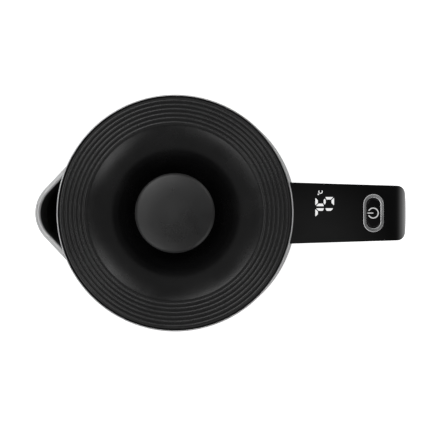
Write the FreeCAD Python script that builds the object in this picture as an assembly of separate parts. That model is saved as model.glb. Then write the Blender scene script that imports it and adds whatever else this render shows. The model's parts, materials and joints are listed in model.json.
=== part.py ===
import FreeCAD, Part
import math
import os

# Electric jug kettle with a short beak spout, on its round power base.
# Millimetres. Z is up and is the swivel axis; Z = 0 is the plane of the base's feet.
# The spout points along -X and the handle along +X.

V = FreeCAD.Vector

# Steel body: a plain cone that is narrower at the rim.
rim_radius = 64.0
rim_height = 215.0
rim_round = 0.2
foot_radius = 78.0
foot_height = 30.0
sheet = 0.7
fit_gap = 0.3
seam_gap = 0.05
wall_gap = 0.15
spot_weld = 0.02

# Spout beak, a rounded V in plan that leans back into the cone.
spout_reach = 75.6
spout_tip_radius = 19.0
spout_half_angle = 46.7
spout_drop = 77.0
spout_lean = 5.5
spout_sheet = 0.8
spout_back_x = -48.0
spout_overcut = 2.0
lip_width = 2.8
lip_depth = 2.2
lip_round = 1.15
liner_wall = 1.0
liner_back_top = 195.0
window_top = 190.0
window_bottom = 160.0
window_half_top = 13.0
window_half_bottom = 5.0
window_corner = 2.5
mesh_margin = 3.0
mesh_sheet = 0.5
mesh_hole = 1.3
mesh_pitch = 3.9

# Lid.
lid_radius = 63.0
lid_top_height = 215.2
ripple_outer = 62.2
ripple_count = 6
ripple_pitch = 2.365
ripple_rise = 0.5
dish_radius = 61.5
dish_start = 16.0
dish_knee = 31.4
throat_radius = 22.0
throat_end = 62.0
well_floor = 190.0
lid_wall = 2.0
lid_edge_drop = 0.25
skirt_low = 203.0
lid_boss_low = 202.1
lid_boss_radius = 3.2
lid_under_top = 202.0
lid_under_sheet = 1.0
lid_under_floor = 183.6
seat_height = 199.2
seat_inner_radius = 58.5

# Knob.
knob_radius = 21.5
knob_top = 219.0
knob_cap_height = 8.5
knob_stem_radius = 10.5
insert_radius = 2.6
insert_top = 203.5

# Handle, a closed loop in side view.
handle_top = 214.5
handle_reach = 126.35
handle_end_radius = 10.0
handle_root_half_width = 16.95
handle_end_half_width = 14.68
handle_end_bow = 1.6
handle_end_bow_radius = 70.0
handle_end_corner = 5.1
handle_back_bottom = 122.8
handle_bottom = 34.0
handle_bottom_radius = 16.0
handle_start_x = 50.0
block_half = 30.0
block_low = 20.0
block_high = 230.0
cover_thickness = 2.6
cover_end_height = 58.0
grip_wall = 2.4
finger_gap_top = 196.5
finger_gap_bottom = 54.0
finger_gap_outer_top = 105.9
finger_gap_outer_bottom = 103.3
finger_round = 4.5
finger_corner = 14.0
upper_bracket_height = 199.3
lower_bracket_height = 42.2
bracket_sheet = 1.5
bracket_width = 20.0
cover_band_overlap = 5.0

# Display and key in the top of the handle.
digit_height = 10.1
digit_width = 4.9
segment_width = 1.34
middle_width = 1.1
segment_gap = 0.40
segment_round = 0.16
digit_top_x = 75.8
letter_x = 78.62
letter_y = 11.6
letter_radius = 1.15
letter_line = 0.42
letter_mouth = 0.45
dot_x = 77.42
dot_y = 10.12
dot_radius = 0.38
seven_centre_y = 0.13
five_centre_y = 6.2
key_x = 107.27
bezel_length = 20.8
bezel_width = 11.3
bezel_inner_length = 16.2
bezel_inner_width = 7.3
bezel_proud = 0.2
bezel_chamfer = 0.42
icon_x = 107.07
icon_radius = 2.95
icon_line = 0.52
icon_gap = 2.4
board_top = 205.0
board_thickness = 1.6
guide_plate = 1.0
mark_clearance = 0.02
key_edge_round = 0.3
key_below_bezel = 0.1
icon_depth = 1.0
stadium_trim = 0.001
loom_radius = 1.7
loom_height = 38.4
loom_bend = 9.0
loom_top = 198.0
loom_top_x = 116.7
loom_bottom_x = 113.0

# Underside of the kettle.
cover_rest = 18.3
recess_ceiling = 22.8
recess_radius = 60.0
plate_height = 44.0
plate_radius = 76.1
element_radius = 42.0
element_tube = 3.4
post_circle = 55.5
probe_x = -32.0
probe_radius = 2.5
plate_sheet = 0.8

# Cordless coupler on the swivel axis.
tower_radius = 14.0
tower_top = 34.0
tower_floor_low = 16.0
tower_flange_radius = 24.0
pin_radius = 2.2
ring_inner = 7.6
ring_outer = 9.2
terminal_circle = 10.0
groove_outer = 9.8
core_radius = 6.7
core_bore = 3.0
core_seat = 20.3
journal_radius = 4.1
journal_gap = 0.06
socket_outer = 26.0

# Power base.
base_radius = 76.5
base_top = 18.0
island_radius = 57.0
island_top = 21.0
base_floor = 1.8
base_wall = 2.2
foot_pad_radius = 6.0
foot_pad_circle = 62.0
foot_sink = 0.8
screw_radius = 1.5
head_radius = 2.9
base_plate = 3.0
counterbore = 1.6
head_height = 1.8
recess_width = 0.7
recess_length = 3.2
recess_depth = 1.0
boss_radius = 4.0
gland_height = 10.4
gland_bore = 3.4
gland_neck = 4.6
gland_flange = 5.3

flare = (foot_radius - rim_radius) / (rim_height - foot_height)


def cone_radius(z):
    """Outer radius of the steel body at height z."""
    return rim_radius + (rim_height - z) * flare


def side(u, v):
    """Point of a side outline: u outward along X, v up."""
    return V(u, 0, v)


def plan(u, v):
    """Point of a plan outline at height 0."""
    return V(u, v, 0)


def rounded_wire(corners, place):
    """Closed outline through corners (u, v) or (u, v, radius), each radius a tangent arc."""
    spots = [V(c[0], c[1], 0) for c in corners]
    radii = [c[2] if len(c) > 2 else 0 for c in corners]
    starts, middles, ends = [], [], []
    for i, here in enumerate(spots):
        back = (spots[i - 1] - here).normalize()
        ahead = (spots[(i + 1) % len(spots)] - here).normalize()
        if radii[i] == 0:
            starts.append(here)
            middles.append(None)
            ends.append(here)
            continue
        half = back.getAngle(ahead) / 2
        reach = radii[i] / math.tan(half)
        inward = (back + ahead).normalize()
        starts.append(here + back * reach)
        middles.append(here + inward * (radii[i] / math.sin(half) - radii[i]))
        ends.append(here + ahead * reach)
    edges = []
    for i in range(len(spots)):
        if middles[i]:
            points = [place(p.x, p.y) for p in (starts[i], middles[i], ends[i])]
            edges.append(Part.Arc(*points).toShape())
        following = starts[(i + 1) % len(spots)]
        if (following - ends[i]).Length > 1e-6:
            edges.append(Part.makeLine(place(ends[i].x, ends[i].y), place(following.x, following.y)))
    return Part.Wire(edges)


def turned(corners):
    """Solid of revolution about Z from a side outline."""
    return Part.Face(rounded_wire(corners, side)).revolve(V(0, 0, 0), V(0, 0, 1), 360)


def slab(corners, low, high):
    """Upright prism between two heights from a plan outline."""
    face = Part.Face(rounded_wire(corners, plan))
    face.translate(V(0, 0, low))
    return face.extrude(V(0, 0, high - low))


def side_prism(corners, half_width):
    """Prism across Y, half_width each way, from a side outline."""
    face = Part.Face(rounded_wire(corners, side))
    face.translate(V(0, -half_width, 0))
    return face.extrude(V(0, 2 * half_width, 0))


def rod(radius, low, high, x=0, y=0):
    return Part.makeCylinder(radius, high - low, V(x, y, low))


def tube(inner, outer, low, high, x=0, y=0):
    return rod(outer, low, high, x, y).cut(rod(inner, low - 1, high + 1, x, y))


def stadium(length, width, low, high, x=0):
    """Prism with round ends, long along Y."""
    a = width / 2
    b = length / 2
    corner = a - stadium_trim
    corners = [(x - a, -b, corner), (x + a, -b, corner), (x + a, b, corner), (x - a, b, corner)]
    return slab(corners, low, high)


def cone_block(offset, low, high):
    """Solid cone that stands offset outside the steel body's outer face."""
    return Part.makeCone(cone_radius(low) + offset, cone_radius(high) + offset, high - low, V(0, 0, low))


def around(count, radius, start=0.0):
    """Evenly spaced (x, y) places on a circle."""
    places = []
    for i in range(count):
        angle = math.radians(start + 360 * i / count)
        places.append((radius * math.cos(angle), radius * math.sin(angle)))
    return places


def screw(x, y, head_low, length, up=True):
    """Pan-head screw with a cross recess; the head is at the bottom when it points up."""
    body = rod(head_radius, 0, head_height)
    body = body.fuse(rod(screw_radius, head_height, head_height + length))
    long, wide = recess_length, recess_width
    body = body.cut(Part.makeBox(long, wide, recess_depth, V(-long / 2, -wide / 2, 0)))
    body = body.cut(Part.makeBox(wide, long, recess_depth, V(-wide / 2, -long / 2, 0)))
    if not up:
        body.rotate(V(0, 0, 0), V(1, 0, 0), 180)
    body.translate(V(x, y, head_low))
    return body.removeSplitter()


def screw_hole(x, y, face):
    """Counterbore and clearance hole up into a wall whose lower face is at the given height."""
    bore = rod(head_radius + 0.3, face - 1, face + counterbore, x, y)
    return bore.fuse(rod(screw_radius + 0.2, face, face + 6, x, y))


def counterbored_screw(x, y, face, length):
    """Screw that points up from the counterbore of screw_hole."""
    return screw(x, y, face + counterbore - head_height - seam_gap, length)


foot_places = around(4, foot_pad_circle) + [(0, 0)]
base_screw_places = around(3, 64.0, 45)
post_places = around(3, post_circle, 90)
lower_handle_screws = [(88, -7), (88, 7)]
upper_handle_screw = (74, 0)
lid_screw_places = around(3, 52.0, 90)


# ---- power base ----

def base_upper_shell():
    shell = turned([
        (base_radius - base_wall, 3.0), (base_radius, 3.0), (base_radius, base_top, 4.0),
        (island_radius + 2, base_top, 0.5), (island_radius, island_top, 1.0),
        (tower_radius + 3.2, island_top), (tower_radius + 3.2, island_top - base_wall),
        (island_radius - 1.4, island_top - base_wall),
        (island_radius + 0.4, base_top - base_wall), (base_radius - base_wall, base_top - base_wall, 0.5),
    ])
    boss_low = base_floor + base_plate + seam_gap
    for x, y in base_screw_places:
        shell = shell.fuse(rod(boss_radius, boss_low, base_top - base_wall + 0.2, x, y))
        shell = shell.cut(rod(screw_radius + seam_gap, 4.0, 14.5, x, y))
    shell = shell.cut(along_y(gland_neck, 60, 90))
    return shell.removeSplitter()


def base_lower_shell():
    plate_top = base_floor + base_plate
    plate = rod(base_radius - base_wall - 0.2, base_floor, plate_top)
    plate = plate.fuse(tube(20.0, 22.0, plate_top - 0.1, 9.0))
    for x, y in foot_places:
        plate = plate.cut(rod(foot_pad_radius + seam_gap, base_floor - 1, base_floor + foot_sink, x, y))
    for x, y in base_screw_places:
        plate = plate.cut(screw_hole(x, y, base_floor))
    return plate.removeSplitter()


def base_feet():
    pads = []
    for x, y in foot_places:
        pad = rod(foot_pad_radius, 0, base_floor + foot_sink, x, y)
        low_edges = [e for e in pad.Edges if e.BoundBox.ZMax < 0.01]
        pads.append(pad.makeFillet(0.5, low_edges))
    return Part.makeCompound(pads)


def base_screws():
    return Part.makeCompound([counterbored_screw(x, y, base_floor, 9.0) for x, y in base_screw_places])


def along_y(radius, start, end):
    """Rod along Y at the cord gland's place."""
    return Part.makeCylinder(radius, end - start, V(0, start, gland_height), V(0, 1, 0))


def cord_gland():
    """Rubber grommet in the base's side wall, empty."""
    inner_face = base_radius - base_wall - 0.05
    grommet = along_y(gland_neck - seam_gap, inner_face, base_radius + 0.1)
    grommet = grommet.fuse(along_y(gland_flange, base_radius, base_radius + 1.8))
    grommet = grommet.fuse(along_y(gland_flange, inner_face - 2.0, inner_face - 0.2))
    grommet = grommet.fuse(along_y(gland_neck - seam_gap, inner_face - 0.3, inner_face + 0.1))
    return grommet.cut(along_y(gland_bore, 60, 90)).removeSplitter()


def coupler_tower():
    """Fixed half of the cordless coupler: a ring wall round the core, with a floor and flange."""
    body = tube(groove_outer, tower_radius, 16.3, tower_top)
    bearing = journal_radius + journal_gap
    body = body.fuse(tube(bearing, tower_flange_radius, tower_floor_low, 18.5))
    body = body.fuse(tube(bearing, tower_radius, tower_floor_low, core_seat - fit_gap))
    return body.removeSplitter()


def base_terminals():
    """Flat blades under the coupler for live, neutral and earth."""
    blades = [Part.makeBox(6.3, 0.8, 8.0, V(-6.3 / 2, terminal_circle - 0.8 / 2, 8.0))]
    for angle in (120, 240):
        blade = blades[0].copy()
        blade.rotate(V(0, 0, 0), V(0, 0, 1), angle)
        blades.append(blade)
    return Part.makeCompound(blades)


def coupler_core():
    """Round middle of the coupler, on a journal in the tower's floor."""
    body = rod(core_radius, core_seat, tower_top)
    body = body.fuse(rod(journal_radius, 15.0, core_seat))
    body = body.fuse(rod(6.2, 13.0, 15.7))
    body = body.cut(rod(core_bore, core_seat + 1.5, tower_top + 1))
    return body.removeSplitter()


# ---- kettle body ----

def window_prism():
    """Pour window through the wall behind the spout."""
    corners = [
        (-window_half_top, window_top, window_corner), (window_half_top, window_top, window_corner),
        (window_half_bottom, window_bottom, window_corner),
        (-window_half_bottom, window_bottom, window_corner),
    ]
    face = Part.Face(rounded_wire(corners, lambda u, v: V(-50, u, v)))
    return face.extrude(V(-30, 0, 0))


def body_shell():
    shell = turned([
        (foot_radius - sheet, foot_height), (foot_radius, foot_height),
        (rim_radius, rim_height, rim_round), (rim_radius - sheet, rim_height, rim_round),
    ])
    shell = shell.cut(window_prism())
    return shell.cut(Part.makeCylinder(4.5, 12, V(70, 0, loom_height), V(1, 0, 0)))


def lid_seat_ring():
    low = seat_height - 1.7
    outer_low = cone_radius(low) - sheet - seam_gap
    outer_high = cone_radius(seat_height) - sheet - seam_gap
    return turned([(seat_inner_radius, low), (outer_low, low), (outer_high, seat_height),
                   (seat_inner_radius, seat_height, 0.5)])


def beak_prism(inset, top, drop):
    """Leaning prism of the spout's V outline, inset from its outer face."""
    angle = math.radians(spout_half_angle)
    tip_x = -spout_reach + inset
    apex_x = tip_x - (spout_tip_radius - inset) * (1 / math.sin(angle) - 1)
    half = (spout_back_x - apex_x) * math.tan(angle)
    corners = [(apex_x, 0, spout_tip_radius - inset), (spout_back_x, -half), (spout_back_x, half)]
    face = Part.Face(rounded_wire(corners, plan))
    lean = spout_lean / spout_drop
    face.translate(V(lean * (rim_height - top), 0, top))
    return face.extrude(V(lean * drop, 0, -drop))


def spout_beak():
    above = spout_overcut
    wall = beak_prism(0, rim_height, spout_drop)
    wall = wall.cut(beak_prism(spout_sheet, rim_height + above, spout_drop + above))
    lip = beak_prism(0, rim_height, lip_depth)
    top_edges = [e for e in lip.Edges if e.BoundBox.ZMin > rim_height - 0.01]
    lip = lip.makeFillet(lip_round, top_edges)
    bore = beak_prism(lip_width, rim_height, lip_depth + 1)
    flare_edges = beak_prism(lip_width - lip_round, rim_height + above, above + 0.001)
    lip = lip.cut(bore)
    rim_edges = [e for e in lip.Edges if e.BoundBox.ZMin > rim_height - 0.01]
    lip = lip.makeFillet(lip_round, [e for e in rim_edges if inner_lip_edge(e)])
    beak = wall.cut(flare_edges).common(wall).fuse(lip)
    beak = beak.cut(cone_block(seam_gap, rim_height - spout_drop - 5, rim_height + 3))
    return biggest_solid(beak.removeSplitter())


def inner_lip_edge(edge):
    """True for the lip's inner top edges, away from the flat back of the prism."""
    middle = edge.valueAt((edge.FirstParameter + edge.LastParameter) / 2)
    return middle.x < spout_back_x - 1


def biggest_solid(shape):
    return max(shape.Solids, key=lambda s: s.Volume)


def spout_liner():
    """Black moulded insert: front walls along the beak, back wall along the body, with the window."""
    depth = spout_drop - 3
    top = rim_height - lip_depth - 0.1
    low = top - depth - 2
    back_face = wall_gap + liner_wall
    outer = beak_prism(spout_sheet + seam_gap, top, depth).cut(cone_block(wall_gap, low, top + 2))
    inner = beak_prism(spout_sheet + liner_wall, top + 1, depth + 1)
    inner = inner.cut(cone_block(back_face, low, top + 3))
    liner = biggest_solid(outer).cut(inner).cut(window_prism())
    return biggest_solid(liner.cut(cone_block(back_face + seam_gap, liner_back_top, top + 1)))


def spout_mesh():
    """Perforated steel strainer on the inside of the wall, over the pour window."""
    low, high = window_bottom - mesh_margin, window_top + mesh_margin
    inset = -sheet - seam_gap
    sheet_ring = cone_block(inset, low, high).cut(cone_block(inset - mesh_sheet, low, high))
    half = window_half_top + mesh_margin
    mask = Part.makeBox(30, 2 * half, high - low, V(-90, -half, low))
    mesh = sheet_ring.common(mask)
    rows = int((window_top - window_bottom - 4) / mesh_pitch)
    holes = []
    for row in range(rows):
        z = window_bottom + 3.5 + row * mesh_pitch
        share = (z - window_bottom) / (window_top - window_bottom)
        reach = window_half_bottom + share * (window_half_top - window_half_bottom) - mesh_hole - 0.6
        steps = int(reach / mesh_pitch)
        for step in range(-steps, steps + 1):
            holes.append(Part.makeCylinder(mesh_hole, 30, V(-50, step * mesh_pitch, z), V(-1, 0, 0)))
    return biggest_solid(mesh.cut(Part.makeCompound(holes)))


def bottom_cover():
    """Black moulded underside with the ring the kettle stands on and the recess for the base."""
    shell_gap = cone_radius(foot_height) - sheet - seam_gap
    lip_top = foot_height + 6
    cover = turned([
        (foot_radius - 0.3, foot_height - seam_gap), (base_radius + 0.5, cover_rest, 3.0),
        (recess_radius + 0.5, cover_rest, 1.0), (recess_radius - 0.5, recess_ceiling, 0.5),
        (socket_outer + 0.3, recess_ceiling), (socket_outer + 0.3, recess_ceiling + 2.2),
        (recess_radius + 1.5, recess_ceiling + 2.2, 0.5), (recess_radius + 2.6, cover_rest + 2.3, 0.5),
        (base_radius - 2, cover_rest + 2.3, 1.5), (shell_gap - 1.9, lip_top),
        (cone_radius(lip_top) - sheet - 0.1, lip_top), (shell_gap, foot_height - seam_gap),
    ])
    for x, y in post_places:
        cover = cover.cut(screw_hole(x, y, recess_ceiling))
    return cover


def bottom_screws():
    return Part.makeCompound([counterbored_screw(x, y, recess_ceiling, 7.0) for x, y in post_places])


def heater_plate():
    """Steel plate that closes the vessel, with a down-turned flange and three screw posts."""
    plate = turned([
        (0, plate_height - plate_sheet), (plate_radius - plate_sheet, plate_height - plate_sheet, 0.6),
        (plate_radius - plate_sheet, plate_height - 6), (plate_radius, plate_height - 6),
        (plate_radius, plate_height, 1.4), (0, plate_height),
    ])
    for x, y in post_places:
        plate = plate.fuse(rod(3.0, recess_ceiling + 2.3, plate_height - 0.7, x, y))
        plate = plate.cut(rod(screw_radius + seam_gap, recess_ceiling, recess_ceiling + 10.5, x, y))
    plate = plate.cut(Part.makeCylinder(loom_radius + 1.3, 20, V(65, 0, loom_height), V(1, 0, 0)))
    return plate.cut(rod(4.0, plate_height - 2, plate_height + 1, probe_x)).removeSplitter()


def spreader_plate():
    """Aluminium disc that spreads the element's heat."""
    return rod(50.0, plate_height - 3.4, plate_height - 0.85).cut(rod(4.6, 30, plate_height, probe_x))


def heating_element():
    """Sheathed element, an open ring with a terminal at each end."""
    z = plate_height - 3.45 - element_tube
    ring = Part.Face(Part.Wire(Part.makeCircle(element_tube, V(element_radius, 0, z), V(0, 1, 0))))
    ring = ring.revolve(V(0, 0, 0), V(0, 0, 1), 300)
    ring.rotate(V(0, 0, 0), V(0, 0, 1), 30)
    ends = ring
    for angle in (30, 330):
        turn = math.radians(angle)
        x, y = element_radius * math.cos(turn), element_radius * math.sin(turn)
        ends = ends.fuse(Part.makeSphere(element_tube, V(x, y, z)))
        ends = ends.fuse(rod(1.6, z - 9.0, z, x, y))
    return ends


def temperature_probe():
    tip_height = plate_height + 8.0
    tip = rod(probe_radius, 34.0, tip_height, probe_x)
    tip = tip.makeFillet(1.5, [e for e in tip.Edges if e.BoundBox.ZMin > tip_height - 0.1])
    return tip.fuse(rod(4.4, 34.0, 37.0, probe_x)).removeSplitter()


def probe_seal():
    inner = probe_radius + seam_gap
    seal = tube(inner, 4.0 - seam_gap, plate_height - 3, plate_height + 0.2, probe_x)
    flange = tube(inner, 6.0, plate_height + seam_gap, plate_height + 1.6, probe_x)
    return seal.fuse(flange).removeSplitter()


def coupler_socket():
    """Kettle half of the coupler, with the switch gear block above the socket."""
    bore = tower_radius + 0.6
    ceiling = tower_top + 1.2
    body = turned([
        (bore, recess_ceiling, 0.3), (socket_outer, recess_ceiling), (socket_outer, 36.0, 1.0),
        (18.0, 36.0), (18.0, 39.5, 1.0), (0, 39.5), (0, ceiling), (bore, ceiling),
    ])
    body = body.cut(rod(pin_radius + seam_gap, 30, 38.0))
    return body.cut(tube(ring_inner - seam_gap, ring_outer + seam_gap, 30, 37.0))


def coupler_contacts():
    """Centre pin and ring of the kettle half."""
    pin = rod(pin_radius, recess_ceiling + 1.0, 37.8)
    pin = pin.makeFillet(1.2, [e for e in pin.Edges if e.BoundBox.ZMax < recess_ceiling + 1.1])
    return Part.makeCompound([pin, tube(ring_inner, ring_outer, recess_ceiling + 1.5, 36.8)])


def overheat_discs():
    """Two bimetal discs that cut the current if the kettle boils dry."""
    return Part.makeCompound([rod(5.5, 39.55, 40.4, 0, 9), rod(5.5, 39.55, 40.4, 0, -9)])


# ---- handle ----

def handle_back(z):
    """Outward reach of the handle's back face at height z."""
    share = (handle_top - z) / (handle_top - handle_bottom)
    return handle_reach + share * (handle_back_bottom - handle_reach)


def handle_cover_band(inset, half_width):
    """Prism of the outer cover's strip along the top and down the back."""
    depth = cover_thickness
    inner_reach = handle_back(cover_end_height) - depth
    corner = handle_back(handle_top - depth) - depth
    return side_prism([
        (handle_start_x, handle_top + inset),
        (handle_reach + inset, handle_top + inset, handle_end_radius + inset),
        (handle_back(cover_end_height) + inset, cover_end_height), (inner_reach, cover_end_height),
        (corner, handle_top - depth, handle_end_radius - depth), (handle_start_x, handle_top - depth),
    ], half_width)


def finger_gap():
    return side_prism([
        (handle_start_x, finger_gap_top), (finger_gap_outer_top, finger_gap_top, finger_corner),
        (finger_gap_outer_bottom, finger_gap_bottom, finger_corner), (handle_start_x, finger_gap_bottom),
    ], block_half + 10)


def handle_block():
    """Whole outer form of the handle, before it is split into cover and grip."""
    loop = side_prism([
        (handle_start_x, handle_top), (handle_reach, handle_top, handle_end_radius),
        (handle_back_bottom, handle_bottom, handle_bottom_radius), (handle_start_x, handle_bottom),
    ], block_half)
    corner_x = handle_reach - handle_end_bow
    outline = slab([
        (handle_start_x, -handle_root_half_width),
        (corner_x, -handle_end_half_width, handle_end_corner),
        (handle_reach, 0, handle_end_bow_radius),
        (corner_x, handle_end_half_width, handle_end_corner),
        (handle_start_x, handle_root_half_width),
    ], block_low, block_high)
    gap = finger_gap()
    right_half = Part.makeBox(100, block_half, block_high, V(handle_start_x - 10, 0, 0))
    half = loop.common(outline).common(right_half).cut(gap)
    gap_edges = [e for e in half.Edges if long_side_edge(e) and on_shape(e, gap)]
    half = half.makeFillet(finger_round, gap_edges)
    block = half.fuse(half.mirror(V(0, 0, 0), V(0, 1, 0))).removeSplitter()
    return block.cut(cone_block(wall_gap, block_low, block_high))


def long_side_edge(edge):
    middle = edge.valueAt((edge.FirstParameter + edge.LastParameter) / 2)
    return abs(middle.y) > 10 and middle.x > handle_start_x + 1


def on_shape(edge, shape):
    middle = edge.valueAt((edge.FirstParameter + edge.LastParameter) / 2)
    return Part.Vertex(middle).distToShape(shape)[0] < 0.01


def handle_cover():
    """Gloss cover along the top and back, with places for the display, the key and their parts."""
    cover = handle_block().common(handle_cover_band(0, block_half))
    cover = cover.cut(stadium(bezel_length + 0.1, bezel_width + 0.1, 205, 220, key_x))
    for prism in display_prisms(handle_top - 5, handle_top + 1, mark_clearance):
        cover = cover.cut(prism)
    return biggest_solid(cover)


def handle_grip():
    """Matt shell that forms the sides, the finger side and both roots of the handle."""
    grip = handle_block().cut(handle_cover_band(cover_band_overlap, block_half))
    wall = grip_wall
    under_cover = cover_thickness + 0.6
    inner_top = handle_top - cover_thickness + 1
    bottom = handle_bottom + wall
    arm_low = finger_gap_top + wall
    arm_high = finger_gap_bottom - wall
    grip_in = finger_gap_outer_top + wall
    grip_in_low = finger_gap_outer_bottom + wall
    back_low = handle_back(cover_end_height) - under_cover
    start = handle_start_x
    cavity = side_prism([
        (start, inner_top), (handle_reach - under_cover, inner_top, 6.0),
        (back_low, cover_end_height, 2.0), (handle_back_bottom - wall, bottom, 12.0), (start, bottom),
        (start, arm_high), (grip_in_low, arm_high, 10.0), (grip_in, arm_low, 10.0), (start, arm_low),
    ], block_half)
    root, end = handle_root_half_width - wall, handle_end_half_width - wall
    plan_outline = [(start, -root), (handle_reach, -end), (handle_reach, end), (start, root)]
    cavity = cavity.common(slab(plan_outline, block_low, block_high))
    grip = grip.cut(cavity)
    for x, y in lower_handle_screws:
        grip = grip.cut(screw_hole(x, y, handle_bottom))
    upper_bore = (finger_gap_top + 0.8, finger_gap_top + 5)
    grip = grip.cut(rod(screw_radius + seam_gap, *upper_bore, *upper_handle_screw))
    return biggest_solid(grip)


def handle_brackets():
    """Steel tabs welded to the body that carry the handle's two roots."""
    tabs = []
    upper = (upper_bracket_height, 60, 81, [upper_handle_screw])
    lower = (lower_bracket_height, 70, 93, lower_handle_screws)
    for low, start, reach, holes in (upper, lower):
        tab = Part.makeBox(reach - start, bracket_width, bracket_sheet, V(start, -bracket_width / 2, low))
        tab = tab.cut(cone_block(spot_weld, low - 1, low + 3))
        for x, y in holes:
            tab = tab.cut(rod(screw_radius + seam_gap, low - 1, low + 3, x, y))
        tabs.append(biggest_solid(tab))
    return Part.makeCompound(tabs)


def handle_screws():
    upper_head = upper_bracket_height + bracket_sheet + head_height + seam_gap
    upper = screw(*upper_handle_screw, upper_head, 3.4, up=False)
    lower = [counterbored_screw(x, y, handle_bottom, 10.0) for x, y in lower_handle_screws]
    return Part.makeCompound([upper] + lower)


def control_board():
    board = Part.makeBox(47, 22, board_thickness, V(70, -11, board_top - board_thickness))
    chips = [(96, -3, 5, 6, 1.2), (78, -9, 6, 3, 1.5), (90, 3, 3, 2.5, 1.0)]
    for x, y, length, width, height in chips:
        board = board.fuse(Part.makeBox(length, width, height + 0.1, V(x, y, board_top - 0.1)))
    return board.removeSplitter()


def display_block():
    """Light block on the board under the digits."""
    height = handle_top - cover_thickness - guide_plate - seam_gap - board_top
    return Part.makeBox(15.0, 18.4, height, V(73.8, -5.6, board_top))


def digit_prisms(centre_y, lit, low, high, grow):
    """Lit bars of one digit; its top is towards the lid and it reads towards +Y."""
    half = digit_width / 2
    tall = digit_height
    wide = segment_width
    gap = segment_gap
    end = tall / 2 - gap
    notch = tall / 2 - wide / 2 - gap
    upper_bar = [(gap, -half), (wide + gap, wide - half), (notch, wide - half), (end, -half)]
    across = [(0, gap - half), (wide, wide + gap - half), (wide, half - wide - gap), (0, half - gap)]
    waist = middle_width / 2
    reach = half - 2 * gap
    shoulder = half - wide - gap
    bars = {
        "f": upper_bar,
        "b": [(u, -v) for u, v in upper_bar],
        "e": [(tall - u, v) for u, v in upper_bar],
        "c": [(tall - u, -v) for u, v in upper_bar],
        "a": across,
        "d": [(tall - u, v) for u, v in across],
        "g": [(tall / 2, -reach), (tall / 2 - waist, -shoulder), (tall / 2 - waist, shoulder),
              (tall / 2, reach), (tall / 2 + waist, shoulder), (tall / 2 + waist, -shoulder)],
    }
    prisms = []
    for name in lit:
        outline = [(digit_top_x + u, centre_y + v) for u, v in bars[name]]
        corners = [(x, y, segment_round + grow) for x, y in grown(outline, grow)]
        prisms.append(slab(corners, low, high))
    return prisms


def grown(outline, amount):
    """Convex outline with every side moved outward by the amount."""
    if amount == 0:
        return outline
    middle_x = sum(x for x, y in outline) / len(outline)
    middle_y = sum(y for x, y in outline) / len(outline)
    sides = []
    for (x1, y1), (x2, y2) in zip(outline, outline[1:] + outline[:1]):
        across = V(y2 - y1, x1 - x2, 0).normalize()
        if across.dot(V(x1 - middle_x, y1 - middle_y, 0)) < 0:
            across = across * -1
        sides.append((across.x, across.y, across.x * x1 + across.y * y1 + amount))
    corners = []
    for (a1, b1, c1), (a2, b2, c2) in zip(sides, sides[1:] + sides[:1]):
        scale = a1 * b2 - a2 * b1
        corners.append(((c1 * b2 - c2 * b1) / scale, (a1 * c2 - a2 * c1) / scale))
    return corners


def display_prisms(low, high, grow=0.0):
    """All lit marks: 75, a degree dot and a small C."""
    marks = digit_prisms(seven_centre_y, "abc", low, high, grow)
    marks += digit_prisms(five_centre_y, "afgcd", low, high, grow)
    letter = rod(letter_radius + grow, low, high, letter_x, letter_y)
    letter = letter.cut(rod(letter_radius - letter_line - grow, low, high, letter_x, letter_y))
    mouth = V(letter_x - 2, letter_y + letter_radius * letter_mouth + grow, low)
    letter = letter.cut(Part.makeBox(4, 3, high - low, mouth))
    marks.append(letter)
    marks.append(rod(dot_radius + grow, low, high, dot_x, dot_y))
    return marks


def display_light_guide():
    """Clear insert whose raised marks fill the cover's slots flush with its top."""
    guide = Part.makeBox(13.4, 18.6, guide_plate, V(74.6, -5.6, handle_top - cover_thickness - guide_plate))
    for prism in display_prisms(handle_top - cover_thickness - 0.1, handle_top):
        guide = guide.fuse(prism)
    return guide


def key_bezel():
    """Grey ring round the key, with a flange under the cover."""
    top = handle_top + bezel_proud
    ring = stadium(bezel_length, bezel_width, handle_top - cover_thickness - 0.2, top, key_x)
    hole = stadium(bezel_inner_length, bezel_inner_width, 200, 220, key_x)
    ring = ring.cut(hole)
    ring = ring.makeChamfer(bezel_chamfer, [e for e in ring.Edges if e.BoundBox.ZMin > top - 0.01])
    flange_low = handle_top - cover_thickness - 1.2
    flange = stadium(bezel_length + 2.4, bezel_width + 2.4, flange_low, flange_low + 1.1, key_x)
    return ring.fuse(flange.cut(hole)).removeSplitter()


def key_icon_prism(low, high, grow=0.0):
    """Power symbol: a broken ring with a bar, both open towards the lid."""
    tall = high - low
    start_x = key_x - bezel_inner_width / 2 + fit_gap + 0.1
    inner_radius = icon_radius - icon_line - grow
    ring = rod(icon_radius + grow, low, high, icon_x).cut(rod(inner_radius, low, high, icon_x))
    mouth = Part.makeBox(icon_radius + 1, icon_gap - 2 * grow, tall)
    mouth.translate(V(icon_x - icon_radius - 1, grow - icon_gap / 2, low))
    wide = icon_line + 2 * grow
    bar = Part.makeBox(icon_x - start_x + 2 * grow, wide, tall, V(start_x - grow, -wide / 2, low))
    return [ring.cut(mouth), bar]


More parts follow.
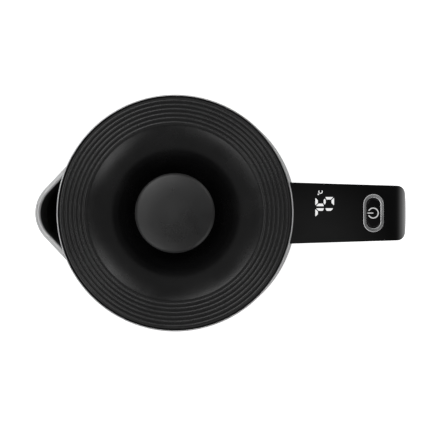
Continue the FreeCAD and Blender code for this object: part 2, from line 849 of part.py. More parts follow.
def power_key():
    """Key cap with a flange that stops it under the bezel, and a stem for the dome."""
    length = bezel_inner_length - 2 * fit_gap
    width = bezel_inner_width - 2 * fit_gap
    flange_grow = 1.8
    top = handle_top + bezel_proud - key_below_bezel
    flange_top = handle_top - cover_thickness - 1.2 - 0.35
    cap = stadium(length, width, flange_top - 0.5, top, key_x)
    cap = cap.makeFillet(key_edge_round, [e for e in cap.Edges if e.BoundBox.ZMin > top - 0.01])
    flange = stadium(bezel_inner_length + flange_grow, bezel_inner_width + flange_grow, flange_top - 1.0,
                     flange_top, key_x)
    cap = cap.fuse(flange)
    cap = cap.fuse(rod(1.6, flange_top - 1.6, flange_top - 0.5, key_x))
    for prism in key_icon_prism(top - icon_depth, top + 1, mark_clearance):
        cap = cap.cut(prism)
    return cap.removeSplitter()


def key_icon():
    top = handle_top + bezel_proud - key_below_bezel
    return Part.makeCompound(key_icon_prism(top - icon_depth + mark_clearance, top))


def key_dome():
    """Silicone dome that pushes the key back up."""
    high = handle_top - cover_thickness - 1.55 - 1.6 - fit_gap
    dome = Part.makeCone(3.6, 2.4, high - board_top, V(key_x, 0, board_top))
    return dome.cut(Part.makeCone(3.0, 1.6, high - board_top - 0.6, V(key_x, 0, board_top)))


def handle_loom():
    """Cable down the grip and in through the body wall to the switch gear."""
    start = V(loom_top_x, 0, loom_top)
    corner = V(loom_bottom_x, 0, loom_height)
    finish = V(socket_outer + 0.1, 0, loom_height)
    down = (corner - start).normalize()
    inward = (finish - corner).normalize()
    half = (down * -1).getAngle(inward) / 2
    reach = loom_bend / math.tan(half)
    bend_start = corner - down * reach
    bend_end = corner + inward * reach
    middle = corner + (inward - down).normalize() * (loom_bend / math.sin(half) - loom_bend)
    path = Part.Wire([
        Part.makeLine(start, bend_start),
        Part.Arc(bend_start, middle, bend_end).toShape(),
        Part.makeLine(bend_end, finish),
    ])
    section = Part.Wire(Part.makeCircle(loom_radius, start, down))
    return path.makePipeShell([section], True, False)


# ---- lid ----

def lid_top():
    """Moulded top: six ripples, a gentle dish, then a throat that falls to the knob's well."""
    base_z = lid_top_height - ripple_rise
    dish_edge = ripple_outer - ripple_count * ripple_pitch
    start, knee, end = (math.radians(a) for a in (dish_start, dish_knee, throat_end))
    dish_centre = (dish_edge + dish_radius * math.sin(start), base_z - dish_radius * math.cos(start))
    closer = dish_radius - throat_radius
    throat_centre = (dish_centre[0] - closer * math.sin(knee), dish_centre[1] + closer * math.cos(knee))

    def on_arc(centre, radius, angle):
        return V(centre[0] - radius * math.sin(angle), 0, centre[1] + radius * math.cos(angle))

    def down_to(point, z):
        drop = point.z - z
        return V(point.x - drop / math.tan(end), 0, z)

    edges = []
    spots = [ripple_outer - i * ripple_pitch for i in range(ripple_count + 1)]
    for outer, inner in zip(spots, spots[1:]):
        crest = V((outer + inner) / 2, 0, lid_top_height)
        edges.append(Part.Arc(V(outer, 0, base_z), crest, V(inner, 0, base_z)).toShape())
    dish = [on_arc(dish_centre, dish_radius, a) for a in (start, (start + knee) / 2, knee)]
    throat = [on_arc(throat_centre, throat_radius, a) for a in (knee, (knee + end) / 2, end)]
    edges += [Part.Arc(*dish).toShape(), Part.Arc(*throat).toShape()]
    throat_back = [on_arc(throat_centre, throat_radius - lid_wall, a) for a in (end, (knee + end) / 2, knee)]
    dish_back = [on_arc(dish_centre, dish_radius - lid_wall, a) for a in (knee, (start + knee) / 2, start)]
    under_floor = well_floor - lid_wall
    inward = [throat[2], down_to(throat[2], well_floor), V(0, 0, well_floor), V(0, 0, under_floor),
              down_to(throat_back[0], under_floor), throat_back[0]]
    edges += [Part.makeLine(a, b) for a, b in zip(inward, inward[1:])]
    edges += [Part.Arc(*throat_back).toShape(), Part.Arc(*dish_back).toShape()]
    outward = [
        dish_back[2], V(lid_radius - lid_wall, 0, base_z - lid_wall), V(lid_radius - lid_wall, 0, skirt_low),
        V(lid_radius, 0, skirt_low), V(lid_radius, 0, base_z - lid_edge_drop), V(ripple_outer, 0, base_z),
    ]
    edges += [Part.makeLine(a, b) for a, b in zip(outward, outward[1:])]
    top = Part.Face(Part.Wire(edges)).revolve(V(0, 0, 0), V(0, 0, 1), 360)
    for x, y in lid_screw_places:
        top = top.fuse(rod(lid_boss_radius, lid_boss_low, base_z - lid_wall + 0.2, x, y))
        top = top.cut(rod(screw_radius + seam_gap, lid_boss_low - 2, base_z - 5.7, x, y))
    return top.cut(rod(screw_radius + 0.2, 180, 195)).removeSplitter()


def lid_under():
    """Inner plate that closes the lid from below."""
    floor, top = lid_under_floor, lid_under_top
    sheet_gap = lid_under_sheet
    plate = turned([
        (0, floor), (30.0, floor, 4.0), (47.5, top - sheet_gap, 3.0), (61.0, top - sheet_gap),
        (61.0, top), (47.1, top, 3.5), (29.6, floor + sheet_gap, 4.5), (0, floor + sheet_gap),
    ])
    for x, y in lid_screw_places:
        plate = plate.cut(rod(screw_radius + 0.2, top - 3, top + 2, x, y))
    return plate


def lid_seal():
    """Silicone ring under the lid's edge."""
    return turned([
        (59.8, 199.5, 0.4), (lid_radius, 199.5, 0.4), (lid_radius, 202.9, 0.4), (61.1, 202.9),
        (61.1, 200.9), (59.8, 200.9),
    ])


def lid_screws():
    head_low = lid_under_top - lid_under_sheet - head_height - seam_gap
    return Part.makeCompound([screw(x, y, head_low, 7.0) for x, y in lid_screw_places])


def lid_knob():
    """Disc knob on a stem that stands in the well."""
    low = knob_top - knob_cap_height
    knob = turned([
        (0, knob_top), (knob_radius, knob_top, 1.0), (knob_radius - 0.5, low, 1.2),
        (knob_stem_radius, low - 3.5, 3.0), (knob_stem_radius, well_floor + seam_gap, 0.4),
        (0, well_floor + seam_gap),
    ])
    return knob.cut(rod(insert_radius + seam_gap, well_floor - 1, insert_top + 0.5))


def knob_insert():
    """Threaded brass insert moulded into the knob's stem."""
    return tube(screw_radius + seam_gap, insert_radius, well_floor + 1.0, insert_top)


def knob_screw():
    return screw(0, 0, well_floor - lid_wall - 0.9 - head_height, 12.0)


def knob_washer():
    high = well_floor - lid_wall - seam_gap
    return tube(screw_radius + 0.1, 4.5, high - 0.75, high)


NODES = {
    "base_upper_shell": base_upper_shell,
    "base_lower_shell": base_lower_shell,
    "base_feet": base_feet,
    "base_screws": base_screws,
    "cord_gland": cord_gland,
    "coupler_tower": coupler_tower,
    "base_terminals": base_terminals,
    "coupler_core": coupler_core,
    "body_shell": body_shell,
    "lid_seat_ring": lid_seat_ring,
    "spout_beak": spout_beak,
    "spout_liner": spout_liner,
    "spout_mesh": spout_mesh,
    "bottom_cover": bottom_cover,
    "bottom_screws": bottom_screws,
    "heater_plate": heater_plate,
    "spreader_plate": spreader_plate,
    "heating_element": heating_element,
    "temperature_probe": temperature_probe,
    "probe_seal": probe_seal,
    "coupler_socket": coupler_socket,
    "coupler_contacts": coupler_contacts,
    "overheat_discs": overheat_discs,
    "handle_cover": handle_cover,
    "handle_grip": handle_grip,
    "handle_brackets": handle_brackets,
    "handle_screws": handle_screws,
    "control_board": control_board,
    "display_block": display_block,
    "display_light_guide": display_light_guide,
    "key_bezel": key_bezel,
    "power_key": power_key,
    "key_icon": key_icon,
    "key_dome": key_dome,
    "handle_loom": handle_loom,
    "lid_top": lid_top,
    "lid_under": lid_under,
    "lid_seal": lid_seal,
    "lid_screws": lid_screws,
    "lid_knob": lid_knob,
    "knob_insert": knob_insert,
    "knob_screw": knob_screw,
    "knob_washer": knob_washer,
}


os.makedirs("parts", exist_ok=True)
for name, make in NODES.items():
    shape = make()
    print(name, shape.isValid(), len(shape.Solids), round(shape.Volume))
    shape.exportStep("parts/" + name + ".step")
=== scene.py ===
import json
import math
import bmesh
import bpy
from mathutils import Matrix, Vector


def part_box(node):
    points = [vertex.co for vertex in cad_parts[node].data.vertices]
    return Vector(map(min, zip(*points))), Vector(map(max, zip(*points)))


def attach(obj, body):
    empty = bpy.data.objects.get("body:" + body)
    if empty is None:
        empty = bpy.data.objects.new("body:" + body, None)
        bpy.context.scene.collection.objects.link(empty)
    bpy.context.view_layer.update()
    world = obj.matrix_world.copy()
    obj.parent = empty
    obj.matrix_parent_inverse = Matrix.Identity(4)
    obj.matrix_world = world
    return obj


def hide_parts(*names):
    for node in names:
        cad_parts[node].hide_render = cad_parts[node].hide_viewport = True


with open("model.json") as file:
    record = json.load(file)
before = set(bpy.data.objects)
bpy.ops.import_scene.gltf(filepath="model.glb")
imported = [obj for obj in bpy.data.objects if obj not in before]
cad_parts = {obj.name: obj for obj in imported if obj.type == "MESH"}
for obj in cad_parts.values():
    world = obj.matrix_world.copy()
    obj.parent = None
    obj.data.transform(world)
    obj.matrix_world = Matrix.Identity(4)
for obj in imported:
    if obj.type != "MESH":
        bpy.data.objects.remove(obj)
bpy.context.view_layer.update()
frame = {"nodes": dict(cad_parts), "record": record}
nodes = frame["nodes"]
MM = 0.001

# Places read from the CAD model.
shell_low, shell_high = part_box("body_shell")
lid_low, lid_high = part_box("lid_top")
knob_low, knob_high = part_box("lid_knob")
cover_low, cover_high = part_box("handle_cover")
RIM_Z = shell_high[2]

# Sizes of the fine pieces in millimetres; the lid's edge and heights, the knob's top and foot and the body's
# foot are read from the CAD model, the others are given.
LID_EDGE = lid_high[0] / MM
LID_WALL = 2.0
EDGE_DROP = 0.5
EDGE_EASE = 0.3
EDGE_INSET = 0.12
EDGE_LIFT = 0.04
SKIRT_LOW = 203.0
RIPPLES = 6
RIPPLE_STEPS = 20
RIPPLE_OUTER = 62.2
RIPPLE_PITCH = 2.365
RIPPLE_RISE = 0.5
RIPPLE_POWER = 2.2
RIPPLE_BASE = lid_high[2] / MM - RIPPLE_RISE
GROOVE_FILL = 0.03
DISH_RADIUS = 61.5
DISH_START = 16.0
DISH_KNEE = 31.4
THROAT_RADIUS = 22.0
THROAT_END = 62.0
WELL_FLOOR = lid_low[2] / MM + LID_WALL
WELL_CORNER = 2.5
KNOB_TOP = knob_high[2] / MM
KNOB_FOOT = knob_low[2] / MM
KNOB_RADIUS = 21.5
KNOB_CAP = 8.5
KNOB_STEM = 10.5
KNOB_CROWN = 0.5
KNOB_BEVEL = 1.1
KNOB_BEVEL_DROP = 0.3
KNOB_BEVEL_ROUND = 0.4
KNOB_DRAFT = 0.5
KNOB_LOW_ROUND = 1.2
KNOB_NECK_DROP = 3.5
KNOB_NECK_ROUND = 3.0
RIM_RADIUS = 64.0
RIM_ROUND = 0.2
FOOT_RADIUS = shell_high[0] / MM
FOOT_Z = shell_low[2] / MM
SHEET = 0.7
WINDOW_LOW = 160.0
WINDOW_HIGH = 190.0
WINDOW_FOOT_HALF = 5.0
WINDOW_TOP_HALF = 13.0
WINDOW_CORNER = 2.5
CUTTER_NEAR = -50.0
CUTTER_FAR = -80.0

# How finely the fine pieces are divided.
BODY_SEGMENTS = 360
KNOB_SEGMENTS = 180
DISH_STEPS = 16
THROAT_STEPS = 32
CROWN_STEPS = 24
CORNER_STEPS = 8
RIM_STEPS = 6
SHARP_DEGREES = 35
ON_AXIS = 1e-6

# Painted highlight: the handle top's specular level is strongest at one spot and at its tip, in metres, and
# fades between, standing in for a reflection of the lights.
PAINTED_HIGHLIGHT_SPOT = (cover_high[0] - 0.048, cover_low[1] + 0.0006, 0.0)
PAINTED_HIGHLIGHT_SPREAD = 0.040
PAINTED_HIGHLIGHT_TIP = (cover_high[0] - 0.0064, 0.0, 0.0)
PAINTED_HIGHLIGHT_TIP_SPREAD = 0.0045
PAINTED_HIGHLIGHT_RANGE = (0.26, 1.0)

# Surface textures: depth in metres, grain in repeats per metre, the part of a noise's range that is used.
FINE_RELIEF = 0.000004
SCRATCH_RELIEF = 0.000006
MOULDED_RELIEF = 0.000007
RUBBER_RELIEF = 0.00001
MOULDED_GRAIN = 2600
RUBBER_GRAIN = 3500
NOISE_LOW = 0.3
NOISE_HIGH = 0.7
SCRATCH_SHADE = 0.84
LIT_TONE = 0.98
LIT_SHADE = 0.93

# Studio in metres; the walls' levels run from the horizon (0) to overhead (1).
WALL_LEVELS = [(0.0, 1.0), (0.15, 0.95), (0.40, 0.42), (0.60, 0.22), (0.80, 0.15), (0.985, 0.13)]
FLOOR_SIZE = 6.0
FLOOR_GAP = 0.0005
FLOOR_GLOW = 0.9
LIGHTS_AIM = Vector((0.02, 0.0, 0.15))
VIEW_WIDTH = 0.230
VIEW_HEIGHT = 0.656
VIEW_SIDE = 0.0205
VIEW_BACK = 0.00003
SENSOR = 36.0


# ---- node helpers ----

def new_material(name):
    """New material with its node tree and its shader."""
    material = bpy.data.materials.new(name)
    material.use_nodes = True
    tree = material.node_tree
    shader = tree.nodes["Principled BSDF"]
    return material, tree, shader


def add(tree, kind, **properties):
    """New shader node with the given properties."""
    node = tree.nodes.new(kind)
    for key, value in properties.items():
        setattr(node, key, value)
    return node


def stretched_coordinates(tree, scale):
    """Object coordinates scaled by a vector, in repeats per metre."""
    coordinates = add(tree, "ShaderNodeTexCoord")
    mapping = add(tree, "ShaderNodeMapping")
    mapping.inputs["Scale"].default_value = scale
    tree.links.new(coordinates.outputs["Object"], mapping.inputs["Vector"])
    return mapping.outputs["Vector"]


def noise(tree, scale, detail, roughness=0.55):
    """Noise in object coordinates, from about 0.3 to 0.7."""
    texture = add(tree, "ShaderNodeTexNoise")
    texture.inputs["Scale"].default_value = 1.0
    texture.inputs["Detail"].default_value = detail
    texture.inputs["Roughness"].default_value = roughness
    tree.links.new(stretched_coordinates(tree, scale), texture.inputs["Vector"])
    return texture.outputs["Fac"]


def ranged(tree, source, low, high, from_low=NOISE_LOW, from_high=NOISE_HIGH):
    """A texture value carried to the range low to high."""
    node = add(tree, "ShaderNodeMapRange")
    node.inputs["From Min"].default_value = from_low
    node.inputs["From Max"].default_value = from_high
    node.inputs["To Min"].default_value = low
    node.inputs["To Max"].default_value = high
    tree.links.new(source, node.inputs["Value"])
    return node.outputs["Result"]


def faded(tree, kind, place, spread):
    """Gradient of the given kind that starts at a place and runs over a spread, in metres."""
    gradient = add(tree, "ShaderNodeTexGradient", gradient_type=kind)
    mapping = add(tree, "ShaderNodeMapping", vector_type="TEXTURE")
    mapping.inputs["Location"].default_value = place
    mapping.inputs["Scale"].default_value = (spread, spread, 1.0)
    coordinates = add(tree, "ShaderNodeTexCoord")
    tree.links.new(coordinates.outputs["Object"], mapping.inputs["Vector"])
    tree.links.new(mapping.outputs["Vector"], gradient.inputs["Vector"])
    return gradient.outputs["Fac"]


def tinted(tree, source, dark, light):
    """Colour that runs from dark to light with a texture value."""
    ramp = add(tree, "ShaderNodeValToRGB")
    ramp.color_ramp.elements[0].position = NOISE_LOW
    ramp.color_ramp.elements[1].position = NOISE_HIGH
    ramp.color_ramp.elements[0].color = (*dark, 1)
    ramp.color_ramp.elements[1].color = (*light, 1)
    tree.links.new(source, ramp.inputs["Fac"])
    return ramp.outputs["Color"]


def bumped(tree, shader, source, distance):
    """Relief of the given depth, in metres, from a texture value."""
    bump = add(tree, "ShaderNodeBump")
    bump.inputs["Distance"].default_value = distance
    bump.inputs["Strength"].default_value = 1.0
    tree.links.new(source, bump.inputs["Height"])
    tree.links.new(bump.outputs["Normal"], shader.inputs["Normal"])


# ---- materials ----

def moulded_plastic(name, dark, light, roughness):
    """Matt moulded plastic with a fine spark-eroded texture."""
    material, tree, shader = new_material(name)
    cloud = noise(tree, (60, 60, 60), 4)
    tree.links.new(tinted(tree, cloud, dark, light), shader.inputs["Base Color"])
    rough = ranged(tree, cloud, roughness - 0.04, roughness + 0.05)
    tree.links.new(rough, shader.inputs["Roughness"])
    bumped(tree, shader, noise(tree, (MOULDED_GRAIN,) * 3, 2), MOULDED_RELIEF)
    return material


def gloss_black(name):
    """Gloss black plastic with faint smears and a painted highlight: a higher specular level at one spot and
    at the tip.
    """
    material, tree, shader = new_material(name)
    smear = noise(tree, (40, 90, 40), 5, 0.65)
    colour = tinted(tree, smear, (0.0012, 0.0012, 0.0013), (0.0020, 0.0020, 0.0021))
    tree.links.new(colour, shader.inputs["Base Color"])
    tree.links.new(ranged(tree, smear, 0.07, 0.12), shader.inputs["Roughness"])
    bumped(tree, shader, noise(tree, (220, 220, 220), 2), FINE_RELIEF)
    # painted highlight: the specular level is raised at one spot and at the tip, in place of a reflection of
    # the lights
    spot = ranged(tree, faded(tree, "SPHERICAL", PAINTED_HIGHLIGHT_SPOT, PAINTED_HIGHLIGHT_SPREAD), *PAINTED_HIGHLIGHT_RANGE, 0.0, 0.7)
    tip = ranged(tree, faded(tree, "LINEAR", PAINTED_HIGHLIGHT_TIP, PAINTED_HIGHLIGHT_TIP_SPREAD), *PAINTED_HIGHLIGHT_RANGE, 0.0, 1.0)
    painted_highlight_mask = add(tree, "ShaderNodeMath", operation="MAXIMUM")
    tree.links.new(spot, painted_highlight_mask.inputs[0])
    tree.links.new(tip, painted_highlight_mask.inputs[1])
    tree.links.new(painted_highlight_mask.outputs["Value"], shader.inputs["Specular IOR Level"])
    return material


def brushed_steel(name, grain, shade, roughness, edge=1.0):
    """Steel with long fine scratches where grain is small; an edge below 1 darkens it at a slant."""
    material, tree, shader = new_material(name)
    lines = noise(tree, grain, 4, 0.7)
    light = (shade, shade, shade * 1.005)
    dark = tuple(SCRATCH_SHADE * channel for channel in light)
    shader.inputs["Metallic"].default_value = 1.0
    shader.inputs["Specular Tint"].default_value = (edge, edge, edge, 1)
    tree.links.new(tinted(tree, lines, dark, light), shader.inputs["Base Color"])
    tree.links.new(ranged(tree, lines, roughness - 0.05, roughness + 0.07), shader.inputs["Roughness"])
    bumped(tree, shader, lines, SCRATCH_RELIEF)
    return material


def plain_metal(name, dark, light, roughness, grain=400.0):
    """Metal without a direction, slightly cloudy."""
    material, tree, shader = new_material(name)
    cloud = noise(tree, (grain,) * 3, 4)
    shader.inputs["Metallic"].default_value = 1.0
    tree.links.new(tinted(tree, cloud, dark, light), shader.inputs["Base Color"])
    tree.links.new(ranged(tree, cloud, roughness - 0.05, roughness + 0.08), shader.inputs["Roughness"])
    bumped(tree, shader, cloud, FINE_RELIEF)
    return material


def soft_rubber(name, dark, light, roughness):
    """Rubber, silicone or cable sheath with a coarse dull skin."""
    material, tree, shader = new_material(name)
    cloud = noise(tree, (300, 300, 300), 4)
    tree.links.new(tinted(tree, cloud, dark, light), shader.inputs["Base Color"])
    tree.links.new(ranged(tree, cloud, roughness - 0.06, roughness + 0.08), shader.inputs["Roughness"])
    bumped(tree, shader, noise(tree, (RUBBER_GRAIN,) * 3, 2), RUBBER_RELIEF)
    return material


def lit_marks(name, strength):
    """Light seen through a clear insert, a little uneven across it."""
    material, tree, shader = new_material(name)
    cloud = noise(tree, (350, 350, 350), 2)
    colour = tinted(tree, cloud, (LIT_TONE * LIT_SHADE,) * 3, (LIT_TONE,) * 3)
    shader.inputs["Base Color"].default_value = (0.02, 0.02, 0.02, 1)
    tree.links.new(colour, shader.inputs["Emission Color"])
    shader.inputs["Emission Strength"].default_value = strength
    shader.inputs["Roughness"].default_value = 0.25
    return material


MATERIALS = {
    "body_steel": brushed_steel("body_steel", (18, 18, 5200), 0.54, 0.36, edge=0.2),
    "mesh_steel": brushed_steel("mesh_steel", (900, 900, 900), 0.55, 0.35),
    "plate_steel": brushed_steel("plate_steel", (600, 600, 600), 0.62, 0.3),
    "element_steel": plain_metal("element_steel", (0.20, 0.19, 0.18), (0.32, 0.31, 0.30), 0.45),
    "fastener_steel": plain_metal("fastener_steel", (0.42, 0.42, 0.44), (0.56, 0.56, 0.58), 0.34),
    "spreader_aluminium": plain_metal("spreader_aluminium", (0.62, 0.63, 0.64), (0.76, 0.77, 0.78), 0.38),
    "contact_brass": plain_metal("contact_brass", (0.62, 0.46, 0.20), (0.78, 0.60, 0.29), 0.28),
    "base_plastic": moulded_plastic("base_plastic", (0.012, 0.012, 0.013), (0.017, 0.017, 0.018), 0.5),
    "lid_black": moulded_plastic("lid_black", (0.0050, 0.0050, 0.0052), (0.0070, 0.0070, 0.0072), 0.25),
    "knob_black": moulded_plastic("knob_black", (0.0045, 0.0045, 0.0047), (0.0062, 0.0062, 0.0064), 0.30),
    "grip_black": moulded_plastic("grip_black", (0.010, 0.010, 0.011), (0.014, 0.014, 0.015), 0.48),
    "liner_black": moulded_plastic("liner_black", (0.045, 0.045, 0.045), (0.056, 0.056, 0.056), 0.45),
    "gloss_black": gloss_black("gloss_black"),
    "bezel_grey": plain_metal("bezel_grey", (0.66, 0.66, 0.665), (0.72, 0.72, 0.725), 0.15, 90.0),
    "display_lit": lit_marks("display_lit", 0.90),
    "icon_lit": lit_marks("icon_lit", 0.62),
    "display_white": soft_rubber("display_white", (0.7, 0.7, 0.68), (0.8, 0.8, 0.78), 0.5),
    "board_green": moulded_plastic("board_green", (0.02, 0.10, 0.05), (0.03, 0.14, 0.07), 0.35),
    "foot_rubber": soft_rubber("foot_rubber", (0.016, 0.016, 0.016), (0.024, 0.024, 0.024), 0.7),
    "silicone": soft_rubber("silicone", (0.20, 0.20, 0.20), (0.28, 0.28, 0.28), 0.45),
    "loom_black": soft_rubber("loom_black", (0.02, 0.02, 0.02), (0.03, 0.03, 0.03), 0.5),
}


def dress_cad_nodes():
    """Gives each CAD node the finish of its slot in the record."""
    slots = {s["node"]: s["material_slot"] for s in frame["record"]["subparts"]}
    for name, piece in nodes.items():
        material = MATERIALS[slots[name]]
        if not piece.material_slots:
            piece.data.materials.append(material)
        for slot in piece.material_slots:
            slot.material = material


# ---- fine pieces in place of coarse CAD meshes ----

def arc(centre_r, centre_z, radius, start, end, steps):
    """Profile points (r, z) on an arc; angles in degrees from the upward direction towards the axis."""
    points = []
    for i in range(steps + 1):
        angle = math.radians(start + (end - start) * i / steps)
        points.append((centre_r - radius * math.sin(angle), centre_z + radius * math.cos(angle)))
    return points


def rounded(corners, steps):
    """Profile through corners (r, z) or (r, z, radius), each radius a smooth arc."""
    points = []
    count = len(corners)
    for i, corner in enumerate(corners):
        here = Vector(corner[:2])
        radius = corner[2] if len(corner) > 2 else 0
        if radius == 0:
            points.append(tuple(here))
            continue
        back = (Vector(corners[i - 1][:2]) - here).normalized()
        ahead = (Vector(corners[(i + 1) % count][:2]) - here).normalized()
        half = back.angle(ahead) / 2
        middle = here + (back + ahead).normalized() * radius / math.sin(half)
        first = here + back * radius / math.tan(half) - middle
        last = here + ahead * radius / math.tan(half) - middle
        turn = first.angle(last)
        for k in range(steps + 1):
            share = k / steps
            spoke = (first * math.sin(turn * (1 - share)) + last * math.sin(turn * share)) / math.sin(turn)
            points.append(tuple(middle + spoke))
    return points


def spun(name, profile, segments):
    """Closed solid of revolution about Z from a closed profile of (r, z) in millimetres."""
    mesh = bpy.data.meshes.new(name)
    work = bmesh.new()
    rings = []
    for r, z in profile:
        if r < ON_AXIS:
            rings.append([work.verts.new((0, 0, z * MM))])
            continue
        ring = []
        for i in range(segments):
            angle = 2 * math.pi * i / segments
            ring.append(work.verts.new((r * MM * math.cos(angle), r * MM * math.sin(angle), z * MM)))
        rings.append(ring)
    for one, two in zip(rings, rings[1:] + rings[:1]):
        if len(one) == 1 and len(two) == 1:
            continue
        for i in range(segments):
            j = (i + 1) % segments
            if len(one) == 1:
                work.faces.new((one[0], two[j], two[i]))
            elif len(two) == 1:
                work.faces.new((one[i], one[j], two[0]))
            else:
                work.faces.new((one[i], one[j], two[j], two[i]))
    bmesh.ops.recalc_face_normals(work, faces=work.faces)
    work.to_mesh(mesh)
    work.free()
    mesh.shade_smooth()
    mesh.set_sharp_from_angle(angle=math.radians(SHARP_DEGREES))
    piece = bpy.data.objects.new(name, mesh)
    bpy.context.scene.collection.objects.link(piece)
    return piece


def stands_for(piece, node, body, slot):
    """Shows the piece in place of a CAD node of the same shape."""
    piece.data.materials.append(MATERIALS[slot])
    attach(piece, body)
    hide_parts(node)


def ripple_line():
    """Six moulded ripples from the lid's edge inward."""
    points = []
    for ripple in range(RIPPLES):
        crest = RIPPLE_OUTER - (ripple + 0.5) * RIPPLE_PITCH
        for i in range(RIPPLE_STEPS):
            across = 1 - 2 * i / RIPPLE_STEPS
            height = RIPPLE_RISE * (1 - abs(across) ** RIPPLE_POWER)
            points.append((crest + across * RIPPLE_PITCH / 2, RIPPLE_BASE + max(height, GROOVE_FILL)))
    return points


def fine_lid_top():
    """The lid's moulded top with its ripples, dish, throat and well."""
    edge = RIPPLE_OUTER - RIPPLES * RIPPLE_PITCH
    start, knee, end = (math.radians(a) for a in (DISH_START, DISH_KNEE, THROAT_END))
    dish_centre = (edge + DISH_RADIUS * math.sin(start), RIPPLE_BASE - DISH_RADIUS * math.cos(start))
    closer = DISH_RADIUS - THROAT_RADIUS
    throat_centre = (dish_centre[0] - closer * math.sin(knee), dish_centre[1] + closer * math.cos(knee))
    dish = arc(*dish_centre, DISH_RADIUS, DISH_START, DISH_KNEE, DISH_STEPS)
    throat = arc(*throat_centre, THROAT_RADIUS, DISH_KNEE, THROAT_END, THROAT_STEPS)
    back = arc(*throat_centre, THROAT_RADIUS - LID_WALL, THROAT_END, DISH_KNEE, THROAT_STEPS // 2)
    back += arc(*dish_centre, DISH_RADIUS - LID_WALL, DISH_KNEE, DISH_START, DISH_STEPS // 2)[1:]

    def down_to(point, z):
        return (point[0] - (point[1] - z) / math.tan(end), z)

    foot = down_to(throat[-1], WELL_FLOOR)
    corner = rounded([throat[-1], (*foot, WELL_CORNER), (0, WELL_FLOOR)], CORNER_STEPS)[1:-1]
    under = WELL_FLOOR - LID_WALL
    outer_edge = [
        (LID_EDGE, RIPPLE_BASE - EDGE_DROP), (LID_EDGE - EDGE_INSET, RIPPLE_BASE - EDGE_EASE),
        (RIPPLE_OUTER + EDGE_EASE, RIPPLE_BASE - EDGE_LIFT),
    ]
    inner = LID_EDGE - LID_WALL
    skirt = [(inner, RIPPLE_BASE - LID_WALL), (inner, SKIRT_LOW), (LID_EDGE, SKIRT_LOW)]
    inside = [(0, WELL_FLOOR), (0, under), down_to(back[0], under)]
    profile = outer_edge + ripple_line() + dish + throat[1:] + corner + inside + back + skirt
    return spun("lid_top_fine", profile, BODY_SEGMENTS)


def fine_knob():
    """Knob with a crowned top that falls away towards a narrow bevel round its edge."""
    crown = [(0, KNOB_TOP)]
    for i in range(1, CROWN_STEPS + 1):
        share = i / CROWN_STEPS
        crown.append(((KNOB_RADIUS - KNOB_BEVEL) * share, KNOB_TOP - KNOB_CROWN * share ** 4))
    edge = KNOB_TOP - KNOB_CROWN - KNOB_BEVEL_DROP
    low = KNOB_TOP - KNOB_CAP
    rest = rounded([
        crown[-1], (KNOB_RADIUS, edge, KNOB_BEVEL_ROUND), (KNOB_RADIUS - KNOB_DRAFT, low, KNOB_LOW_ROUND),
        (KNOB_STEM, low - KNOB_NECK_DROP, KNOB_NECK_ROUND), (KNOB_STEM, KNOB_FOOT), (0, KNOB_FOOT),
    ], CORNER_STEPS)
    return spun("lid_knob_fine", crown + rest[1:], KNOB_SEGMENTS)


def pour_window():
    """Cutter for the pour window behind the spout."""
    outline = rounded([
        (-WINDOW_TOP_HALF, WINDOW_HIGH, WINDOW_CORNER), (WINDOW_TOP_HALF, WINDOW_HIGH, WINDOW_CORNER),
        (WINDOW_FOOT_HALF, WINDOW_LOW, WINDOW_CORNER), (-WINDOW_FOOT_HALF, WINDOW_LOW, WINDOW_CORNER),
    ], CORNER_STEPS)
    mesh = bpy.data.meshes.new("window_cutter")
    work = bmesh.new()
    near = [work.verts.new((CUTTER_NEAR * MM, u * MM, v * MM)) for u, v in outline]
    far = [work.verts.new((CUTTER_FAR * MM, u * MM, v * MM)) for u, v in outline]
    work.faces.new(near)
    work.faces.new(far)
    for i in range(len(near)):
        j = (i + 1) % len(near)
        work.faces.new((near[i], near[j], far[j], far[i]))
    bmesh.ops.recalc_face_normals(work, faces=work.faces)
    work.to_mesh(mesh)
    work.free()
    piece = bpy.data.objects.new("window_cutter", mesh)
    bpy.context.scene.collection.objects.link(piece)
    return piece


def cut_with(piece, cutter):
    """Boolean cut applied to the piece's mesh; the cutter is removed."""
    modifier = piece.modifiers.new("cut", "BOOLEAN")
    modifier.operation = "DIFFERENCE"
    modifier.solver = "EXACT"
    modifier.object = cutter
    graph = bpy.context.evaluated_depsgraph_get()
    mesh = bpy.data.meshes.new_from_object(piece.evaluated_get(graph))
    piece.modifiers.clear()
    piece.data = mesh
    bpy.data.objects.remove(cutter)
    mesh.shade_smooth()
    mesh.set_sharp_from_angle(angle=math.radians(SHARP_DEGREES))


def fine_body():
    """Cone of the vessel with its rolled rim and the pour window."""
    profile = rounded([
        (FOOT_RADIUS - SHEET, FOOT_Z), (FOOT_RADIUS, FOOT_Z),
        (RIM_RADIUS, RIM_Z / MM, RIM_ROUND), (RIM_RADIUS - SHEET, RIM_Z / MM, RIM_ROUND),
    ], RIM_STEPS)
    piece = spun("body_shell_fine", profile, BODY_SEGMENTS)
    cut_with(piece, pour_window())
    return piece


def fine_pieces():
    """Smooth meshes for the three pieces that show most."""
    stands_for(fine_lid_top(), "lid_top", "lid", "lid_black")
    stands_for(fine_knob(), "lid_knob", "lid", "knob_black")
    stands_for(fine_body(), "body_shell", "kettle", "body_steel")


# ---- stage, light and camera ----

def floor():
    """Plain pale floor with a glow that keeps it white."""
    bpy.ops.mesh.primitive_plane_add(size=FLOOR_SIZE, location=(0, 0, -FLOOR_GAP))
    piece = bpy.context.object
    piece.name = "studio_floor"
    material, tree, shader = new_material("studio_floor")
    cloud = noise(tree, (3, 3, 3), 2)
    tree.links.new(tinted(tree, cloud, (0.88, 0.88, 0.88), (0.9, 0.9, 0.9)), shader.inputs["Base Color"])
    shader.inputs["Roughness"].default_value = 0.9
    shader.inputs["Emission Color"].default_value = (1, 1, 1, 1)
    shader.inputs["Emission Strength"].default_value = FLOOR_GLOW
    piece.data.materials.append(material)


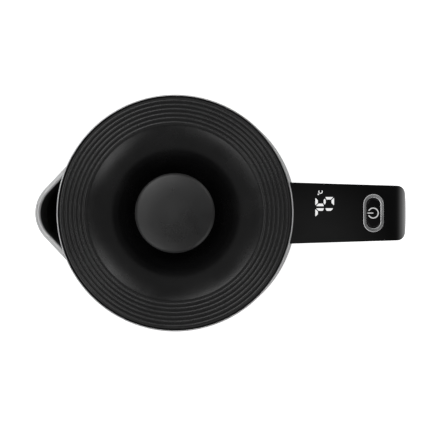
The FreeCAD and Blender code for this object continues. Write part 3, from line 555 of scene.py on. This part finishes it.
def studio_world():
    """Bright walls low down and a dim ceiling."""
    world = bpy.data.worlds.new("studio")
    bpy.context.scene.world = world
    world.use_nodes = True
    tree = world.node_tree
    background = tree.nodes["Background"]
    coordinates = add(tree, "ShaderNodeTexCoord")
    split = add(tree, "ShaderNodeSeparateXYZ")
    ramp = add(tree, "ShaderNodeValToRGB")
    tree.links.new(coordinates.outputs["Generated"], split.inputs["Vector"])
    tree.links.new(split.outputs["Z"], ramp.inputs["Fac"])
    tree.links.new(ramp.outputs["Color"], background.inputs["Color"])
    elements = ramp.color_ramp.elements
    while len(elements) < len(WALL_LEVELS):
        elements.new(0.5)
    for element, (place, level) in zip(elements, WALL_LEVELS):
        element.position = place
        element.color = (level, level, level, 1)
    background.inputs["Strength"].default_value = 1.0


def softbox(name, azimuth, elevation, distance, size, power):
    """Area light that looks at the kettle; azimuth runs from +X towards +Y."""
    light = bpy.data.lights.new(name, "AREA")
    light.shape = "RECTANGLE"
    light.size, light.size_y = size
    light.energy = power
    piece = bpy.data.objects.new(name, light)
    bpy.context.scene.collection.objects.link(piece)
    a, e = math.radians(azimuth), math.radians(elevation)
    offset = Vector((math.cos(a) * math.cos(e), math.sin(a) * math.cos(e), math.sin(e))) * distance
    piece.location = LIGHTS_AIM + offset
    piece.rotation_euler = (-offset).to_track_quat("-Z", "Y").to_euler()


def lights():
    """Two keys above the spout's side, a low strip behind the spout and two fills above the handle's side."""
    softbox("key_left_back", 130, 71, 1.5, (0.50, 0.50), 2.9)
    softbox("key_left_front", 225, 69, 1.5, (0.50, 0.50), 1.6)
    softbox("low_left", 190, 20, 1.5, (2.0, 0.30), 2.6)
    softbox("fill_right_back", 45, 66, 1.6, (0.40, 0.40), 1.3)
    softbox("fill_right_front", 315, 65, 1.6, (0.40, 0.40), 1.15)


def camera():
    """Straight down from above, with the object's middle a little to the right of the view's."""
    data = bpy.data.cameras.new("camera")
    data.sensor_width = SENSOR
    data.lens = SENSOR * VIEW_HEIGHT / VIEW_WIDTH
    data.clip_start = 0.01
    data.clip_end = 20.0
    piece = bpy.data.objects.new("camera", data)
    bpy.context.scene.collection.objects.link(piece)
    lid_x = (lid_low[0] + lid_high[0]) / 2
    piece.location = (lid_x + VIEW_SIDE, VIEW_BACK, RIM_Z + VIEW_HEIGHT)
    bpy.context.scene.camera = piece


dress_cad_nodes()
fine_pieces()
floor()
studio_world()
lights()
camera()
bpy.context.scene.view_settings.view_transform = "Standard"
